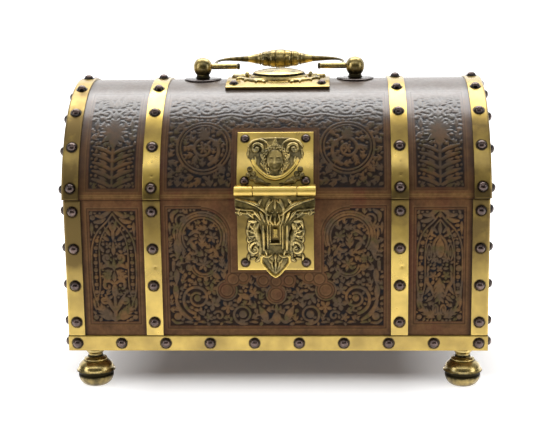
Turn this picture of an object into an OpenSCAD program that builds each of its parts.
// Table casket: a leather-covered box with a barrel-vaulted lid, brass straps and studs,
// four turned feet, a swinging hasp at the front and a folding carrying handle on the ridge.
// Millimetres, +Z up, front towards -Y. The origin is on the table, under the middle of the box.

/* [Overall] */
// Width over the straps at the two ends of the lid
lid_w = 280; // [262:1:320]
// Depth over the straps of the lid at the seam
lid_d = 171; // [160:1:190]
// Rise of the vault from the seam to the straps on the ridge
vault_rise = 71.2; // [66:0.2:76]
// Height of the body from the underside to the seam
body_h = 102; // [92:0.5:125]
// How far the lid stands out past the body on each side
lid_overhang = 0.9; // [0.4:0.1:1.6]

/* [Walls] */
// Thickness of the wooden boards
board_t = 8; // [6:0.5:10]
// Thickness of the leather
leather_t = 1.2; // [0.8:0.1:1.8]
// Thickness of the silk-covered lining cards
lining_t = 1.5; // [1:0.1:2.5]
// How far the lining stops below the edge it faces
lining_drop = 2; // [1:0.5:5]
// Slit between the leather and straps of the lid and those of the body
seam_gap = 0.4; // [0.2:0.1:0.8]

/* [Straps and studs] */
// Width of every strap
strap_w = 11.4; // [9:0.1:13]
// Thickness of straps and bottom band
strap_t = 1.2; // [0.8:0.1:1.6]
// Distance of each inner strap's middle from the middle of the casket
inner_strap_x = 80.9; // [76:0.1:95]
// Height of the band round the bottom
band_h = 10.6; // [9:0.1:13]
// Diameter of a strap stud's head
stud_d = 7.1; // [5:0.1:8]
// Height of a strap stud's head
stud_h = 2.8; // [1.6:0.1:3.4]
// Diameter of a stud's shank
shank_d = 1.6; // [1:0.1:2]
// Gap round every shank in its hole
shank_fit = 0.05; // [0.02:0.01:0.1]
// Studs along each strap of the body
body_stud_count = 4; // [2:1:5]
// Step from one body stud to the next
body_stud_step = 24.9; // [20:0.1:26]
// Drop from the seam to the highest body stud
body_stud_drop = 7.6; // [6:0.1:12]
// Studs over the vault on each strap of the lid
lid_stud_count = 9; // [5:2:11]
// Height of the lowest lid studs above the seam
lid_stud_up = 7.9; // [7:0.1:10]
// Studs along the front and back band
band_studs_long = 10; // [6:1:12]
// Studs along each side band
band_studs_short = 6; // [4:1:7]
// Distance of the end studs from the corner of the body
corner_stud_in = 6.1; // [5:0.1:7]

/* [Feet] */
// Height of a foot, from the table to the underside of the body
foot_h = 27.8; // [24:0.1:32]
// Largest diameter of a foot
foot_d = 26.4; // [22:0.1:29]
// Distance of a foot's centre from both faces of the body
foot_inset = 15; // [14:0.1:22]
// Diameter of the flat that stands on the table
foot_rest_d = 10; // [6:0.5:12]
// Diameter of the foot's screw
foot_screw_d = 5; // [4:0.1:6]
// Length of the foot's screw in the bottom board
foot_screw_l = 5.5; // [4:0.1:5.8]

/* [Lock] */
// Width of both lock plates
lock_w = 50; // [44:1:54]
// Thickness of both lock plates
lock_t = 1.5; // [1:0.1:2]
// Height of the lower lock plate
lock_plate_h = 46.6; // [42:0.2:52]
// Height of the upper plate's lower edge above the seam
hasp_plate_up = 3; // [2.6:0.1:3.2]
// Height of the upper plate, measured along the vault
hasp_plate_l = 42.9; // [41:0.1:48]
// Diameter of the hasp's hinge barrel
barrel_d = 6.5; // [6:0.1:7]
// Length of the hasp's hinge barrel
barrel_w = 53; // [50:0.5:56]
// Length of the hasp's own knuckle, in the middle of the barrel
hasp_knuckle_w = 28.4; // [22:0.1:32]
// Height of the barrel's centre above the seam
barrel_up = 6.4; // [6:0.1:6.8]
// Diameter of the hasp's pin
hasp_pin_d = 2.6; // [2:0.1:3]
// Thickness of the hasp
hasp_t = 2.2; // [1.6:0.1:2.4]
// Length of the hasp below the barrel's centre
hasp_l = 57.8; // [56:0.1:60]
// Gap between the hasp and the lower lock plate
hasp_stand = 2.5; // [2.3:0.1:2.8]
// Height of the hasp's wide leaf, from the barrel's centre down
hasp_leaf_h = 15.6; // [13:0.1:16.5]
// Width of the hasp's stem
hasp_stem_w = 17.6; // [15:0.1:18.4]
// Width of the shield at the hasp's end
pull_w = 20.4; // [19:0.1:23]
// Height of the shield
pull_h = 16; // [14:0.1:17]
// Distance from the barrel's centre down to the middle of the window
window_drop = 28; // [26.5:0.1:29]
// Width of the window in the hasp
window_w = 5.6; // [5:0.1:6.2]
// Height of the window in the hasp
window_h = 12; // [10.6:0.1:13]
// How far the catch stands into the window
catch_reach = 0.4; // [0.2:0.1:0.5]
// Width of the catch
catch_w = 2.8; // [2.2:0.1:3.4]
// Height of the catch
catch_h = 5.4; // [4:0.1:5.6]
// Diameter of the small studs of the lock and handle plates
small_stud_d = 5.6; // [4.6:0.1:6]
// Height of the small studs
small_stud_h = 2; // [1.4:0.1:2.1]
// Distance of the small studs from the side edges of the lock plates
lock_stud_in = 5.1; // [3.4:0.1:5.6]
// Height of the cast relief on the lower lock plate
griffin_t = 1.7; // [1:0.1:2]
// Height of the cast relief on the upper lock plate
mask_t = 3; // [2:0.1:3.2]

/* [Lid hinges] */
// Distance of each hinge's middle from the middle of the casket
hinge_x = 45; // [30:1:52]
// Width of each hinge
hinge_w = 30; // [26:1:36]
// Height of each hinge leaf
leaf_h = 13; // [12:0.5:16]
// Thickness of each hinge leaf
leaf_t = 1.4; // [1:0.1:1.8]
// Diameter of the lid hinge's barrel
hinge_barrel_d = 6; // [5.4:0.1:6.4]
// Diameter of the lid hinge's pin
hinge_pin_d = 2.4; // [2:0.1:3]
// Length of the lid leaf's knuckle
lid_knuckle_w = 10.4; // [9:0.1:13]

/* [Handle] */
// Distance of each ball's centre from the middle of the casket
ball_x = 53.2; // [50:0.1:56]
// Diameter of the balls
ball_d = 11.9; // [11:0.1:13]
// Height of the ball's centre above the ridge leather
ball_up = 9; // [8.8:0.1:10.5]
// Diameter of the washer under each ball
washer_d = 26; // [20:0.5:28]
// Thickness of the washer on the ridge
washer_t = 1; // [0.8:0.1:1.4]
// Distance from the handle's pivot to the middle of its grip
bail_reach = 30; // [28:0.5:34]
// Angle of the folded handle above the horizontal
bail_lift = 5; // [3:0.5:8]
// Diameter of the handle's pivot rods
rod_d = 4.4; // [4:0.1:4.8]
// Diameter of the pivots inside the balls
journal_d = 3; // [2.4:0.1:3.4]
// Distance of the rods' inner ends from the middle
rod_in_x = 27; // [26:0.5:30]
// Diameter of the handle's side arms
arm_d = 3.8; // [3:0.1:4.2]
// Length of the turned grip
grip_l = 46; // [42:0.5:50]
// Largest diameter of the grip
grip_d = 13.3; // [11:0.1:14]
// Length of the plate under the handle
handle_plate_w = 71; // [66:0.5:74]
// Depth of that plate, front to back
handle_plate_d = 57; // [52:0.5:60]
// Thickness of that plate
handle_plate_t = 1.7; // [1.2:0.1:2]
// Length of the oval boss on the plate
boss_l = 38; // [32:0.5:42]
// Depth of the oval boss
boss_d = 30; // [27:0.5:32]
// Height of the oval boss above the plate, at its middle
boss_h = 6; // [5:0.1:6.4]
// Height of the boss's upright edge
boss_edge_h = 3; // [2.4:0.1:3.4]

/* [Fits] */
// Gap round every hinge pin and pivot in its bore
pin_fit = 0.05; // [0.02:0.01:0.1]
// Gap between neighbouring knuckles, and between a turning part and its seat
side_gap = 0.3; // [0.2:0.05:0.4]

/* [Hidden] */

$fn = 48;
arc_fn = 180;
sides = [-1, 1];
over = 1; // how far a cutter runs past what it cuts

brass = [0.72, 0.57, 0.24];
old_brass = [0.56, 0.44, 0.2];
bronze = [0.27, 0.2, 0.16];
brown_leather = [0.3, 0.21, 0.17];
oak = [0.6, 0.45, 0.3];
silk = [0.5, 0.12, 0.14];

// The vault is an arc through the strap faces at the seam and on the ridge
seam_z = foot_h + body_h;
vault_r = (lid_d * lid_d / 4 + vault_rise * vault_rise) / (2 * vault_rise);
arc_z = seam_z + vault_rise - vault_r;
skin_r = vault_r - strap_t;
vault_board_r = skin_r - leather_t;
vault_in_r = vault_board_r - board_t;

// Half sizes of the lid and body, from the straps inwards
lid_x = lid_w / 2;
lid_skin_x = lid_x - strap_t;
lid_board_x = lid_skin_x - leather_t;
lid_in_x = lid_board_x - board_t;
body_x = lid_x - lid_overhang;
body_y = lid_d / 2 - lid_overhang;
skin_x = body_x - strap_t;
skin_y = body_y - strap_t;
board_x = skin_x - leather_t;
board_y = skin_y - leather_t;
in_x = board_x - board_t;
in_y = board_y - board_t;
floor_z = foot_h + board_t;
band_z = foot_h + band_h;
body_top = seam_z - seam_gap / 2;
lid_bottom = seam_z + seam_gap / 2;

lid_stud_low = asin((seam_z + lid_stud_up - arc_z) / vault_r);
lid_stud_turn = (180 - 2 * lid_stud_low) / (lid_stud_count - 1);
lid_stud_angles = [for (i = [0 : lid_stud_count - 1]) lid_stud_low + i * lid_stud_turn];
body_stud_heights = [
    for (i = [0 : body_stud_count - 1]) seam_z - body_stud_drop - i * body_stud_step
];
band_stud_z = foot_h + band_h / 2;
band_xs = spread(body_x - corner_stud_in, band_studs_long);
band_ys = spread(body_y - corner_stud_in, band_studs_short);

// Hasp and its barrel
plate_y = skin_y + lock_t;
hasp_plate_r = skin_r + lock_t;
barrel_z = seam_z + barrel_up;
barrel_y = sqrt(pow(hasp_plate_r, 2) - pow(barrel_z - arc_z, 2)) + barrel_d / 2 + side_gap;
hasp_y = plate_y + hasp_stand;
lock_stud_x = lock_w / 2 - lock_stud_in;
lock_stud_heights = [body_top - lock_plate_h + lock_stud_in, body_top - lock_stud_in];
window_z = barrel_z - window_drop;
knuckle_clear = barrel_d / 2 + side_gap;
web_t = 3.4; // webs that carry the barrel's outer knuckles
hasp_plate_low = asin((seam_z + hasp_plate_up - arc_z) / skin_r);
hasp_plate_high = hasp_plate_low + turn_along(hasp_plate_l, skin_r);
hasp_plate_mid = (hasp_plate_low + hasp_plate_high) / 2;
stud_in_turn = turn_along(lock_stud_in, hasp_plate_r);
// the lower studs of the upper plate also stand clear of the barrel
hasp_stud_angles = [hasp_plate_low + stud_in_turn + 2.6, hasp_plate_high - stud_in_turn];

// Lid hinge
hinge_y = vault_r + 1;
leaf_clear = hinge_barrel_d / 2 + 0.6;
base_knuckle_w = (hinge_w - lid_knuckle_w) / 2 - side_gap;
leaf_low = asin((seam_z + leaf_clear - arc_z) / (skin_r + leaf_t));
leaf_high = leaf_low + turn_along(leaf_h, skin_r);
leaf_stud_in = 4.6; // of a leaf's studs from its free edges
leaf_stud_x = hinge_w / 2 - leaf_stud_in;
base_leaf_top = seam_z - leaf_clear;
base_leaf_stud_z = base_leaf_top - leaf_h + leaf_stud_in;
lid_leaf_stud = 180 - leaf_high + turn_along(leaf_stud_in, skin_r);
hinge_web_t = 3.4; // webs between the knuckles and their leaves
web_start = hinge_barrel_d / 4 + 0.1;

// Handle
ball_z = arc_z + skin_r + ball_up;
arm_x = ball_x - ball_d / 2 - arm_d / 2 - side_gap;
elbow_r = 9; // of the bail's bends, to the middle of the arm
post_neck_d = 6;
washer_sunk = 2; // how far a washer reaches down over the vault's curve
handle_plate_r = skin_r + handle_plate_t;
handle_plate_turn = turn_along(handle_plate_d / 2, skin_r);
handle_stud_in = 6.8; // of the plate's studs from its front and back edges
handle_stud_side = 5.4; // of those studs from the plate's ends
handle_stud_x = handle_plate_w / 2 - handle_stud_side;
handle_stud_turn = handle_plate_turn - turn_along(handle_stud_in, skin_r);
boss_step = 1; // how far the boss's dome stands in from its edge
boss_drop = handle_plate_r - sqrt(pow(handle_plate_r, 2) - pow(boss_d / 2, 2));
scroll_t = 1.6; // height of the cast scrolls on the plate

// Even places from -reach to reach
function spread(reach, count) = [for (i = [0 : count - 1]) -reach + 2 * reach * i / (count - 1)];

// Degrees that a length takes along an arc
function turn_along(length, r) = length / r * 180 / PI;

// A bar or shell is drawn upright and laid along X from x0
module lay_x(x0 = 0) {
    translate([x0, 0, 0]) rotate([0, 90, 0]) children();
}

module cylinder_x(r, x0, x1) {
    lay_x(x0) cylinder(r = r, h = x1 - x0);
}

// Box between two corners
module block(a, b) {
    translate(a) cube(b - a);
}

// Puts children on a face, with their +Z pointing out of it
module on_front(x, z, y = body_y) { translate([x, -y, z]) rotate([90, 0, 0]) children(); }
module on_back(x, z, y = body_y) { translate([x, y, z]) rotate([-90, 0, 0]) children(); }
module on_side(s, y, z, x = body_x) { translate([s * x, y, z]) rotate([0, s * 90, 0]) children(); }
module on_vault(x, a, r = vault_r) {
    translate([x, -r * cos(a), arc_z + r * sin(a)]) rotate([90 - a, 0, 0]) children();
}

module stud(d = stud_d, h = stud_h, through = strap_t) {
    dome_r = (d * d / 4 + h * h) / (2 * h);
    rotate_extrude($fn = 36) {
        intersection() {
            translate([0, h - dome_r]) circle(r = dome_r, $fn = 72);
            square([d / 2, h]);
        }
        translate([0, -through]) square([shank_d / 2, through]);
    }
}

module shank_hole(through = strap_t) {
    translate([0, 0, -through - over])
        cylinder(d = shank_d + 2 * shank_fit, h = through + 2 * over, $fn = 24);
}

// Keeps what lies above a level
module above(z) {
    intersection() {
        children();
        block([-lid_w, -lid_d, z], [lid_w, lid_d, z + 2 * vault_r]);
    }
}

// Part of the barrel vault between two radii
module vault_shell(r_out, r_in, x0, x1, z_low = lid_bottom) {
    above(z_low) translate([0, 0, arc_z]) difference() {
        lay_x(x0) cylinder(r = r_out, h = x1 - x0, $fn = arc_fn);
        lay_x(x0 - over) cylinder(r = r_in, h = x1 - x0 + 2 * over, $fn = arc_fn);
    }
}

// Segment that closes an end of the vault
module vault_end(r, x0, x1, z_low = lid_bottom) {
    above(z_low) translate([0, 0, arc_z]) lay_x(x0) cylinder(r = r, h = x1 - x0, $fn = arc_fn);
}

// Slice of the vault between two angles, as a cutter
module vault_wedge(a0, a1, x0, x1) {
    reach = 2 * vault_r;
    translate([0, 0, arc_z]) rotate([90, 0, 90]) translate([0, 0, x0]) linear_extrude(x1 - x0)
        polygon([
            [0, 0],
            [-reach * cos(a0), reach * sin(a0)],
            [-reach * cos((a0 + a1) / 2), reach * sin((a0 + a1) / 2)],
            [-reach * cos(a1), reach * sin(a1)]
        ]);
}

// Plate that follows the vault between two angles
module vault_plate(r_in, r_out, x0, x1, a0, a1) {
    intersection() {
        vault_shell(r_out, r_in, x0, x1, arc_z);
        vault_wedge(a0, a1, x0 - over, x1 + over);
    }
}

// Wooden carcass of the body
module base_board_front() {
    color(oak) block([-board_x, -board_y, floor_z], [board_x, -in_y, seam_z]);
}

module base_board_back() {
    color(oak) block([-board_x, in_y, floor_z], [board_x, board_y, seam_z]);
}

module base_board_side(s) {
    color(oak) translate([s * (board_x + in_x) / 2, 0, (floor_z + seam_z) / 2])
        cube([board_t, 2 * in_y, seam_z - floor_z], center = true);
}

module base_board_left() { base_board_side(-1); }
module base_board_right() { base_board_side(1); }

foot_xy = [body_x - foot_inset, body_y - foot_inset];
module base_board_bottom() {
    color(oak) difference() {
        block([-board_x, -board_y, foot_h], [board_x, board_y, floor_z]);
        for (sx = sides, sy = sides)
            translate([sx * foot_xy[0], sy * foot_xy[1], foot_h - over])
                cylinder(d = foot_screw_d + 2 * pin_fit, h = foot_screw_l + over);
    }
}

// Leather skins of the body
module base_leather_front() {
    color(brown_leather) block([-skin_x, -skin_y, foot_h], [skin_x, -board_y, body_top]);
}

module base_leather_back() {
    color(brown_leather) block([-skin_x, board_y, foot_h], [skin_x, skin_y, body_top]);
}

module base_leather_side(s) {
    color(brown_leather) translate([s * (skin_x + board_x) / 2, 0, (foot_h + body_top) / 2])
        cube([leather_t, 2 * board_y, body_top - foot_h], center = true);
}

module base_leather_left() { base_leather_side(-1); }
module base_leather_right() { base_leather_side(1); }

module base_lining() {
    color(silk) difference() {
        block([-in_x, -in_y, floor_z], [in_x, in_y, seam_z - lining_drop]);
        block([-in_x + lining_t, -in_y + lining_t, floor_z + lining_t],
              [in_x - lining_t, in_y - lining_t, seam_z + over]);
    }
}

// Angle strap over a corner of the body, with one leg on each face
module corner_strap(sx, sy) {
    color(brass) difference() {
        union() {
            translate([sx * (body_x - strap_w / 2), sy * (body_y - strap_t / 2), 0])
                upright(strap_w, strap_t);
            translate([sx * (body_x - strap_t / 2), sy * (body_y - strap_w / 2), 0])
                upright(strap_t, strap_w);
        }
        for (z = body_stud_heights) {
            if (sy < 0) on_front(sx * (body_x - corner_stud_in), z) shank_hole();
            else on_back(sx * (body_x - corner_stud_in), z) shank_hole();
            on_side(sx, sy * (body_y - corner_stud_in), z) shank_hole();
        }
    }
}

// Upright bar from the band to the seam
module upright(w, d) {
    translate([-w / 2, -d / 2, band_z]) cube([w, d, body_top - band_z]);
}

module corner_strap_front_left() { corner_strap(-1, -1); }
module corner_strap_front_right() { corner_strap(1, -1); }
module corner_strap_back_left() { corner_strap(-1, 1); }
module corner_strap_back_right() { corner_strap(1, 1); }

module inner_strap(sx, sy) {
    color(brass) difference() {
        translate([sx * inner_strap_x, sy * (body_y - strap_t / 2), 0]) upright(strap_w, strap_t);
        for (z = body_stud_heights) {
            if (sy < 0) on_front(sx * inner_strap_x, z) shank_hole();
            else on_back(sx * inner_strap_x, z) shank_hole();
        }
    }
}

module inner_strap_front_left() { inner_strap(-1, -1); }
module inner_strap_front_right() { inner_strap(1, -1); }
module inner_strap_back_left() { inner_strap(-1, 1); }
module inner_strap_back_right() { inner_strap(1, 1); }

// Band round the bottom: two long strips with two short ones between them
module bottom_band_front() {
    color(brass) difference() {
        block([-body_x, -body_y, foot_h], [body_x, -skin_y, band_z]);
        for (x = band_xs) on_front(x, band_stud_z) shank_hole();
    }
}

module bottom_band_back() {
    color(brass) difference() {
        block([-body_x, skin_y, foot_h], [body_x, body_y, band_z]);
        for (x = band_xs) on_back(x, band_stud_z) shank_hole();
    }
}

module bottom_band_side(s) {
    color(brass) difference() {
        translate([s * (body_x - strap_t / 2), 0, (foot_h + band_z) / 2])
            cube([strap_t, 2 * skin_y, band_h], center = true);
        for (y = band_ys) on_side(s, y, band_stud_z) shank_hole();
    }
}

module bottom_band_left() { bottom_band_side(-1); }
module bottom_band_right() { bottom_band_side(1); }

// Studs of the body: strap studs front, back and sides, band studs, and those of the hinge leaves
module base_studs() {
    color(bronze) {
        for (x = [-body_x + corner_stud_in, -inner_strap_x, inner_strap_x, body_x - corner_stud_in],
             z = body_stud_heights) {
            on_front(x, z) stud();
            on_back(x, z) stud();
        }
        for (s = sides, sy = sides, z = body_stud_heights)
            on_side(s, sy * (body_y - corner_stud_in), z) stud();
        for (x = band_xs) {
            on_front(x, band_stud_z) stud();
            on_back(x, band_stud_z) stud();
        }
        for (s = sides, y = band_ys) on_side(s, y, band_stud_z) stud();
        for (s = sides, t = sides)
            on_back(s * hinge_x + t * leaf_stud_x, base_leaf_stud_z, skin_y + leaf_t)
                stud(small_stud_d, small_stud_h, leaf_t);
    }
}

// Turned foot: dome on the table, dark groove, sharp lip, bulb, thin ring, cove and neck, and the
// screw that holds it in the bottom board
foot_dome_h = 8.6;
foot_groove_h = 2.4;
foot_lip_t = 0.9;
foot_bulb_h = 6.9;
foot_ring_t = 1.2;
foot_ring_d = 15.6;
foot_neck_d = 13;
module foot(sx, sy) {
    r = foot_d / 2;
    rest_r = foot_rest_d / 2;
    dome_r = r - 1.6;
    ring_r = foot_ring_d / 2;
    neck_r = foot_neck_d / 2;
    lip_z = foot_dome_h + foot_groove_h;
    bulb_z = lip_z + foot_lip_t;
    ring_z = bulb_z + foot_bulb_h;
    cove_z = ring_z + foot_ring_t;
    cove_r = (foot_h - cove_z - 1) / 2;
    dome = [for (a = [0 : 6 : 90]) [rest_r + (dome_r - rest_r) * sin(a), foot_dome_h * (1 - cos(a))]];
    bulb = [for (t = [0 : 0.1 : 1])
        [ring_r + (r - 1 - ring_r) * (1 - t * t), bulb_z + foot_bulb_h * t]];
    color(old_brass) translate([sx * foot_xy[0], sy * foot_xy[1], 0]) rotate_extrude($fn = 96)
        difference() {
            union() {
                polygon(concat([[0, 0]], dome, [[0, foot_dome_h]]));
                translate([0, foot_dome_h]) square([r - 2.2, foot_groove_h]);
                translate([0, lip_z]) square([r, foot_lip_t]);
                polygon(concat([[0, bulb_z]], bulb, [[0, ring_z]]));
                translate([0, ring_z]) square([ring_r, foot_ring_t]);
                translate([0, ring_z]) square([neck_r, foot_h - ring_z]);
                translate([0, foot_h - over]) square([foot_screw_d / 2, foot_screw_l + over]);
            }
            translate([neck_r + 1, cove_z + cove_r]) circle(r = cove_r);
        }
}

module foot_front_left() { foot(-1, -1); }
module foot_front_right() { foot(1, -1); }
module foot_back_left() { foot(-1, 1); }
module foot_back_right() { foot(1, 1); }

// Lower lock plate on the front, its cast griffins, studs and the catch behind the hasp's window
lock_stud_places = [for (s = sides, z = lock_stud_heights) [s * lock_stud_x, z]];
module lock_plate() {
    color(brass) difference() {
        block([-lock_w / 2, -plate_y, body_top - lock_plate_h], [lock_w / 2, -skin_y, body_top]);
        for (p = lock_stud_places) on_front(p[0], p[1], plate_y) shank_hole(lock_t);
        on_front(0, window_z, plate_y) shank_hole(lock_t);
    }
}

// One of the two figures beside the hasp's stem: x out from the edge of the stem, y from the
// height of the window's middle
griffin_outline = [
    [0.4, 10], [5.8, 8.6], [9.6, 4], [10.5, -2], [7.6, -6.6], [7.4, -10], [9.4, -14], [7, -18.4],
    [2.8, -21], [0.6, -18], [1.6, -13], [0.2, -7], [1.8, -1], [0, 4]
];
module lock_plate_griffins() {
    color(old_brass) for (s = [0, 1]) mirror([s, 0, 0])
        on_front(hasp_stem_w / 2, window_z, plate_y) linear_extrude(griffin_t) polygon(griffin_outline);
}

module lock_plate_studs() {
    color(bronze) for (p = lock_stud_places)
        on_front(p[0], p[1], plate_y) stud(small_stud_d, small_stud_h, lock_t);
}

module catch_stud() {
    rise = hasp_stand + catch_reach;
    color(brass) on_front(0, window_z, plate_y) {
        translate([0, 0, -lock_t]) cylinder(d = shank_d, h = lock_t + rise / 2, $fn = 24);
        // upright bar with a round front, inside the window
        intersection() {
            block([-catch_w / 2, -catch_h / 2, 0], [catch_w / 2, catch_h / 2, rise]);
            translate([0, 0, rise - catch_w]) rotate([90, 0, 0])
                cylinder(r = catch_w, h = catch_h + over, center = true);
        }
    }
}

// Lid hinges at the back, with their pins in the body's knuckles
module hinge_bore() {
    lay_x(-hinge_w) cylinder(d = hinge_pin_d + 2 * pin_fit, h = 2 * hinge_w);
}

module base_hinge_leaves() {
    color(brass) for (s = sides) translate([s * hinge_x, 0, 0]) difference() {
        union() {
            block([-hinge_w / 2, skin_y, base_leaf_top - leaf_h],
                  [hinge_w / 2, skin_y + leaf_t, base_leaf_top]);
            for (t = sides) translate([t * (hinge_w - base_knuckle_w) / 2, 0, 0]) {
                translate([0, hinge_y, seam_z])
                    cylinder_x(hinge_barrel_d / 2, -base_knuckle_w / 2, base_knuckle_w / 2);
                block([-base_knuckle_w / 2, skin_y, seam_z - web_start - hinge_web_t],
                      [base_knuckle_w / 2, hinge_y, seam_z - web_start]);
            }
        }
        translate([0, hinge_y, seam_z]) hinge_bore();
        for (t = sides) on_back(t * leaf_stud_x, base_leaf_stud_z, skin_y + leaf_t) shank_hole(leaf_t);
    }
}

module lid_hinge_pins() {
    color(brass) for (s = sides)
        translate([s * hinge_x, hinge_y, seam_z])
            cylinder_x(hinge_pin_d / 2, -hinge_w / 2, hinge_w / 2);
}

module lid_hinge_leaves() {
    color(brass) for (s = sides) translate([s * hinge_x, 0, 0]) difference() {
        union() {
            vault_plate(skin_r, skin_r + leaf_t, -hinge_w / 2, hinge_w / 2,
                        180 - leaf_high, 180 - leaf_low);
            translate([0, hinge_y, seam_z])
                cylinder_x(hinge_barrel_d / 2, -lid_knuckle_w / 2, lid_knuckle_w / 2);
            difference() {
                block([-lid_knuckle_w / 2, skin_y, seam_z + web_start],
                      [lid_knuckle_w / 2, hinge_y, seam_z + web_start + hinge_web_t]);
                translate([0, 0, arc_z]) cylinder_x(skin_r, -hinge_w, hinge_w, $fn = arc_fn);
            }
        }
        translate([0, hinge_y, seam_z]) hinge_bore();
        for (t = sides) on_vault(t * leaf_stud_x, lid_leaf_stud, skin_r + leaf_t) shank_hole(leaf_t);
    }
}

// Wooden carcass, leather and lining of the lid
module lid_vault_board() {
    color(oak) vault_shell(vault_board_r, vault_in_r, -lid_board_x, lid_board_x, seam_z);
}

module lid_end_board(s) {
    x0 = s < 0 ? -lid_board_x : lid_in_x;
    color(oak) vault_end(vault_in_r, x0, x0 + board_t, seam_z);
}

module lid_end_board_left() { lid_end_board(-1); }
module lid_end_board_right() { lid_end_board(1); }

module lid_leather_vault() {
    color(brown_leather) vault_shell(skin_r, vault_board_r, -lid_board_x, lid_board_x);
}

module lid_leather_end(s) {
    x0 = s < 0 ? -lid_skin_x : lid_board_x;
    color(brown_leather) vault_end(skin_r, x0, x0 + leather_t);
}

module lid_leather_end_left() { lid_leather_end(-1); }
module lid_leather_end_right() { lid_leather_end(1); }

module lid_lining() {
    low = seam_z + lining_drop;
    color(silk) difference() {
        vault_end(vault_in_r, -lid_in_x, lid_in_x, low);
        vault_end(vault_in_r - lining_t, -lid_in_x + lining_t, lid_in_x - lining_t, low - over);
    }
}

// Angle strap over an end of the vault: one leg round the vault, one on the end face
module lid_end_strap(s) {
    face = s < 0 ? [-lid_x, -lid_skin_x] : [lid_skin_x, lid_x];
    rim = s < 0 ? [-lid_x, -lid_x + strap_w] : [lid_x - strap_w, lid_x];
    color(brass) difference() {
        union() {
            vault_shell(vault_r, skin_r, rim[0], rim[1]);
            vault_shell(vault_r, vault_r - strap_w, face[0], face[1]);
        }
        for (a = lid_stud_angles) {
            on_vault(s * (lid_x - corner_stud_in), a) shank_hole();
            lid_end_stud_place(s, a) shank_hole();
        }
    }
}

// On the end face, as far in from the rim as the studs on the vault are from the end
module lid_end_stud_place(s, a) {
    r = vault_r - corner_stud_in;
    on_side(s, -r * cos(a), arc_z + r * sin(a), lid_x) children();
}

module lid_end_strap_left() { lid_end_strap(-1); }
module lid_end_strap_right() { lid_end_strap(1); }

module lid_inner_strap(s) {
    middle = s * inner_strap_x;
    color(brass) difference() {
        vault_shell(vault_r, skin_r, middle - strap_w / 2, middle + strap_w / 2);
        for (a = lid_stud_angles) on_vault(middle, a) shank_hole();
    }
}

module lid_inner_strap_left() { lid_inner_strap(-1); }
module lid_inner_strap_right() { lid_inner_strap(1); }

module lid_studs() {
    color(bronze) {
        for (s = sides, a = lid_stud_angles) {
            on_vault(s * inner_strap_x, a) stud();
            on_vault(s * (lid_x - corner_stud_in), a) stud();
            lid_end_stud_place(s, a) stud();
        }
        for (s = sides, t = sides)
            on_vault(s * hinge_x + t * leaf_stud_x, lid_leaf_stud, skin_r + leaf_t)
                stud(small_stud_d, small_stud_h, leaf_t);
    }
}

// Upper lock plate, bent to the vault, with the two outer knuckles of the hasp's barrel
hasp_stud_places = [for (s = sides, a = hasp_stud_angles) [s * lock_stud_x, a]];
module at_barrel() {
    translate([0, -barrel_y, barrel_z]) children();
}

module hasp_bore() {
    at_barrel() cylinder_x(hasp_pin_d / 2 + pin_fit, -barrel_w, barrel_w);
}

module hasp_plate() {
    outer_w = (barrel_w - hasp_knuckle_w) / 2 - side_gap;
    color(brass) difference() {
        union() {
            vault_plate(skin_r, hasp_plate_r, -lock_w / 2, lock_w / 2, hasp_plate_low, hasp_plate_high);
            for (s = sides) translate([s * (barrel_w - outer_w) / 2, 0, 0]) {
                at_barrel() cylinder_x(barrel_d / 2, -outer_w / 2, outer_w / 2);
                difference() {
                    block([-outer_w / 2, -barrel_y, barrel_z - web_t / 3],
                          [outer_w / 2, -skin_y, barrel_z + web_t * 2 / 3]);
                    translate([0, 0, arc_z]) cylinder_x(skin_r, -lid_w, lid_w, $fn = arc_fn);
                }
            }
        }
        hasp_bore();
        for (p = hasp_stud_places) on_vault(p[0], p[1], hasp_plate_r) shank_hole(lock_t);
    }
}

// Cast cartouche and two leaf sprays: x from the middle, y up from the plate's middle
cartouche_outline = [
    [0, 16], [9, 16], [13, 13.5], [18.6, 10.5], [19, 5], [15.5, 2.5], [11, -3], [5, -9],
    [0, -11], [-5, -9], [-11, -3], [-15.5, 2.5], [-19, 5], [-18.6, 10.5], [-13, 13.5], [-9, 16]
];
spray_outline = [
    [3.4, -14.8], [8.6, -15.4], [12.4, -12.8], [17, -8.8], [18.6, -4.4], [15.6, -2.2], [11.6, -7],
    [5.6, -11.4]
];
module hasp_plate_mask() {
    color(old_brass) intersection() {
        vault_shell(hasp_plate_r + mask_t, hasp_plate_r, -lock_w, lock_w);
        on_vault(0, hasp_plate_mid, vault_in_r) linear_extrude(vault_r - vault_in_r + lock_t + mask_t) {
            polygon(cartouche_outline);
            for (s = [0, 1]) mirror([s, 0]) polygon(spray_outline);
        }
    }
}

module hasp_plate_studs() {
    color(bronze) for (p = hasp_stud_places)
        on_vault(p[0], p[1], hasp_plate_r) stud(small_stud_d, small_stud_h, lock_t);
}

module hasp_pin() {
    color(brass) at_barrel() cylinder_x(hasp_pin_d / 2, -barrel_w / 2, barrel_w / 2);
}

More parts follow.
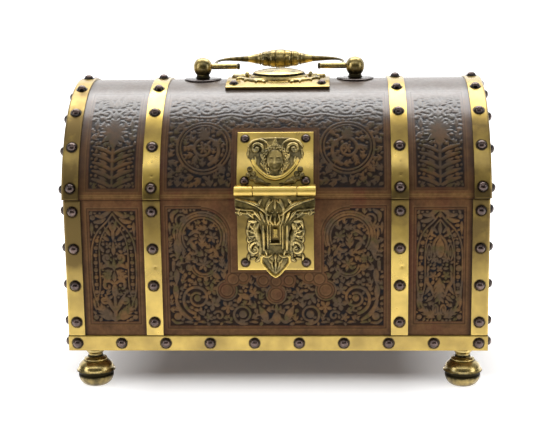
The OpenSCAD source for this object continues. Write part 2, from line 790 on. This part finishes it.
// Hasp: centre knuckle, full-width leaf, two arms drawing in to a stem with a window, shield pull.
// Its outline is x from the middle and y from the barrel's centre
leaf_x = barrel_w / 2 - 0.4;
stem_x = hasp_stem_w / 2;
pull_top = hasp_l - pull_h;
hasp_half = [
    [leaf_x, -knuckle_clear], [leaf_x, -hasp_leaf_h], [stem_x + 12.2, -hasp_leaf_h - 2.8],
    [stem_x + 3.8, -hasp_leaf_h - 5], [stem_x + 0.6, -hasp_leaf_h - 9.4],
    [stem_x, -hasp_leaf_h - 14.4], [stem_x, 1.4 - pull_top], [pull_w / 2, -pull_top],
    [pull_w / 2, -pull_top - pull_h / 3], [pull_w * 0.3, -hasp_l + pull_h / 4], [0, -hasp_l]
];
hasp_outline = concat(hasp_half, [
    for (i = [len(hasp_half) - 2 : -1 : 0]) [-hasp_half[i][0], hasp_half[i][1]]
]);
module hasp() {
    color(brass) difference() {
        union() {
            translate([0, -hasp_y, barrel_z]) rotate([90, 0, 0]) linear_extrude(hasp_t) {
                polygon(hasp_outline);
                translate([-hasp_knuckle_w / 2, -knuckle_clear - over])
                    square([hasp_knuckle_w, knuckle_clear + over]);
            }
            at_barrel() cylinder_x(barrel_d / 2, -hasp_knuckle_w / 2, hasp_knuckle_w / 2);
        }
        hasp_bore();
        on_front(0, window_z, hasp_y)
            translate([-window_w / 2, -window_h / 2, -over])
                cube([window_w, window_h, hasp_t + 2 * over]);
    }
}

// Handle: plate bent to the ridge, cast ornament, saddle washers and ball posts
handle_stud_places = [for (s = sides, t = sides) [s * handle_stud_x, 90 + t * handle_stud_turn]];
module handle_plate() {
    color(brass) difference() {
        vault_plate(skin_r, handle_plate_r, -handle_plate_w / 2, handle_plate_w / 2,
                    90 - handle_plate_turn, 90 + handle_plate_turn);
        for (p = handle_stud_places) on_vault(p[0], p[1], handle_plate_r) shank_hole(handle_plate_t);
    }
}

// One of four leaf scrolls round the boss: x out from the boss's end, y from its front
scroll_outline = [for (p = [
    [1, -13.8], [6, -14.2], [12.4, -12.6], [13.4, -10], [8.6, -8.6], [3.6, -3], [-5, 3], [-12, 6.5],
    [-13, 4.6], [-6.4, 1.2], [-1.4, -3.4], [0.8, -9]
]) [boss_l / 2 + p[0], boss_d / 2 + p[1]]];
module handle_plate_ornament() {
    dome_z = arc_z + handle_plate_r + boss_edge_h - boss_drop;
    dome_h = boss_h - boss_edge_h + boss_drop;
    color(old_brass) {
        intersection() {
            vault_shell(handle_plate_r + boss_edge_h, handle_plate_r, -lid_w / 2, lid_w / 2);
            translate([0, 0, arc_z + vault_in_r]) linear_extrude(2 * board_t + boss_edge_h)
                resize([boss_l, boss_d]) circle(d = boss_d, $fn = 48);
        }
        difference() {
            translate([0, 0, dome_z])
                resize([boss_l - 2 * boss_step, boss_d - 2 * boss_step, 2 * dome_h])
                    sphere(d = boss_d, $fn = 32);
            translate([0, 0, arc_z]) cylinder_x(handle_plate_r, -lid_w, lid_w, $fn = arc_fn);
        }
        for (sx = [0, 1], sy = [0, 1]) mirror([sx, 0, 0]) mirror([0, sy, 0]) intersection() {
            vault_shell(handle_plate_r + scroll_t, handle_plate_r, -lid_w / 2, lid_w / 2);
            translate([0, 0, arc_z + vault_in_r]) linear_extrude(2 * board_t) polygon(scroll_outline);
        }
    }
}

module handle_plate_studs() {
    color(bronze) for (p = handle_stud_places)
        on_vault(p[0], p[1], handle_plate_r) stud(small_stud_d, small_stud_h, handle_plate_t);
}

module handle_washers() {
    color(bronze) for (s = sides) difference() {
        translate([s * ball_x, 0, arc_z + skin_r - washer_sunk])
            cylinder(d = washer_d, h = washer_t + washer_sunk, $fn = 96);
        translate([0, 0, arc_z]) cylinder_x(skin_r, -lid_w, lid_w, $fn = arc_fn);
    }
}

module handle_post(s) {
    foot_z = arc_z + skin_r + washer_t;
    color(old_brass) difference() {
        union() {
            translate([s * ball_x, 0, ball_z]) sphere(d = ball_d, $fn = 96);
            translate([s * ball_x, 0, foot_z]) cylinder(d = post_neck_d, h = ball_z - foot_z);
        }
        translate([s * ball_x, 0, ball_z])
            cylinder_x(journal_d / 2 + pin_fit, s < 0 ? -over : -ball_d, s < 0 ? ball_d : over);
    }
}

module handle_post_left() { handle_post(-1); }
module handle_post_right() { handle_post(1); }

// The handle is drawn flat, pivot along X at the origin and grip towards +Y, then lifted and placed
module place_handle() {
    translate([0, 0, ball_z]) rotate([bail_lift, 0, 0]) children();
}

module handle_bail() {
    color(old_brass) place_handle() {
        for (s = [0, 1]) mirror([s, 0, 0]) {
            cylinder_x(rod_d / 2, rod_in_x, arm_x + arm_d / 2);
            cylinder_x(journal_d / 2, arm_x, ball_x + over - side_gap);
            translate([arm_x, 0, 0]) rotate([-90, 0, 0])
                cylinder(d = arm_d, h = bail_reach - elbow_r);
            translate([arm_x - elbow_r, bail_reach - elbow_r, 0])
                intersection() {
                    rotate_extrude($fn = 96) translate([elbow_r, 0]) circle(d = arm_d, $fn = 36);
                    block([0, 0, -arm_d], [2 * elbow_r, 2 * elbow_r, arm_d]);
                }
        }
        translate([0, bail_reach, 0]) cylinder_x(arm_d / 2, -arm_x + elbow_r, arm_x - elbow_r);
    }
}

// Turned grip on the bar of the handle: barrel in the middle, rings, then drawn in to the ends
grip_profile = [ // place along the grip as a share of its half length, share of the full radius
    [0, 1], [0.1, 1], [0.1, 0.86], [0.34, 0.95], [0.36, 0.86], [0.44, 0.86], [0.46, 0.9],
    [0.62, 0.84], [0.64, 0.7], [0.7, 0.7], [0.72, 0.74], [0.86, 0.6], [1, 0.42]
];
module handle_grip() {
    half = grip_l / 2;
    r = grip_d / 2;
    edge = [for (p = grip_profile) [r * p[1], half * p[0]]];
    mirrored = [for (i = [len(edge) - 1 : -1 : 0]) [edge[i][0], -edge[i][1]]];
    color(old_brass) place_handle() translate([0, bail_reach, 0]) difference() {
        lay_x() rotate_extrude($fn = 96) polygon(concat([[0, -half]], mirrored, edge, [[0, half]]));
        cylinder_x(arm_d / 2 + pin_fit, -grip_l, grip_l);
    }
}

base_board_front();
base_board_back();
base_board_left();
base_board_right();
base_board_bottom();
base_leather_front();
base_leather_back();
base_leather_left();
base_leather_right();
base_lining();
corner_strap_front_left();
corner_strap_front_right();
corner_strap_back_left();
corner_strap_back_right();
inner_strap_front_left();
inner_strap_front_right();
inner_strap_back_left();
inner_strap_back_right();
bottom_band_front();
bottom_band_back();
bottom_band_left();
bottom_band_right();
base_studs();
foot_front_left();
foot_front_right();
foot_back_left();
foot_back_right();
lock_plate();
lock_plate_griffins();
lock_plate_studs();
catch_stud();
base_hinge_leaves();
lid_hinge_pins();
lid_vault_board();
lid_end_board_left();
lid_end_board_right();
lid_leather_vault();
lid_leather_end_left();
lid_leather_end_right();
lid_lining();
lid_end_strap_left();
lid_end_strap_right();
lid_inner_strap_left();
lid_inner_strap_right();
lid_studs();
lid_hinge_leaves();
hasp_plate();
hasp_plate_mask();
hasp_plate_studs();
hasp_pin();
hasp();
handle_plate();
handle_plate_ornament();
handle_plate_studs();
handle_washers();
handle_post_left();
handle_post_right();
handle_bail();
handle_grip();
